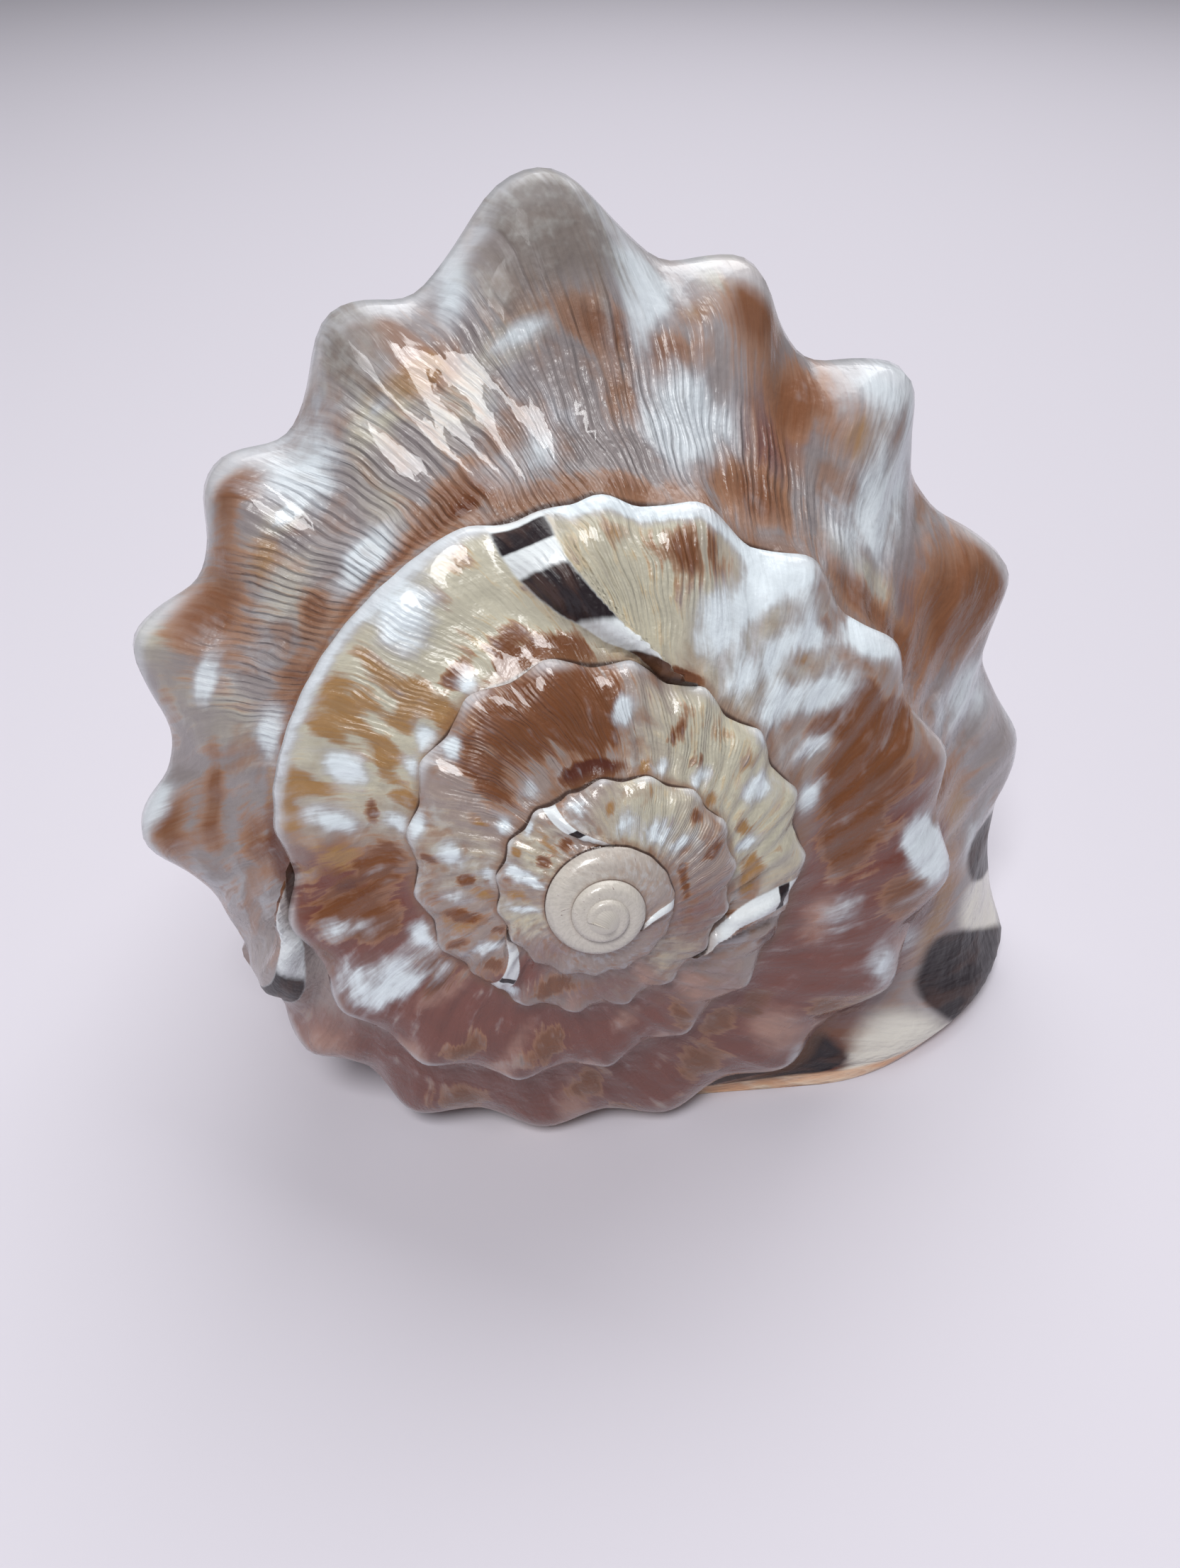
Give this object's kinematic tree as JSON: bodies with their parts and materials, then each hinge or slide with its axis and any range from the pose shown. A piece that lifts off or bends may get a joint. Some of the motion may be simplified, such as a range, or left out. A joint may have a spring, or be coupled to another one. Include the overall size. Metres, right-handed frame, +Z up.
{
  "type": "helmet shell",
  "caption": "Glossy horned helmet shell with a coiled spire, a knobbed keel and a toothed slit of a mouth, resting on its flat underside as decoration.",
  "frame": {"origin": "centre of the bounding box, on the floor that the shell rests on", "axes": "+Z up, +Y from the spire towards the canal at the front of the animal, +X to the right of a viewer who faces the spire"},
  "size_m": [0.0996, 0.123, 0.0928],
  "materials": {
    "glossy_shell": "wet gloss"
  },
  "bodies": {
    "root": {"helmet_shell": "glossy_shell"}
  },
  "joints": []
}
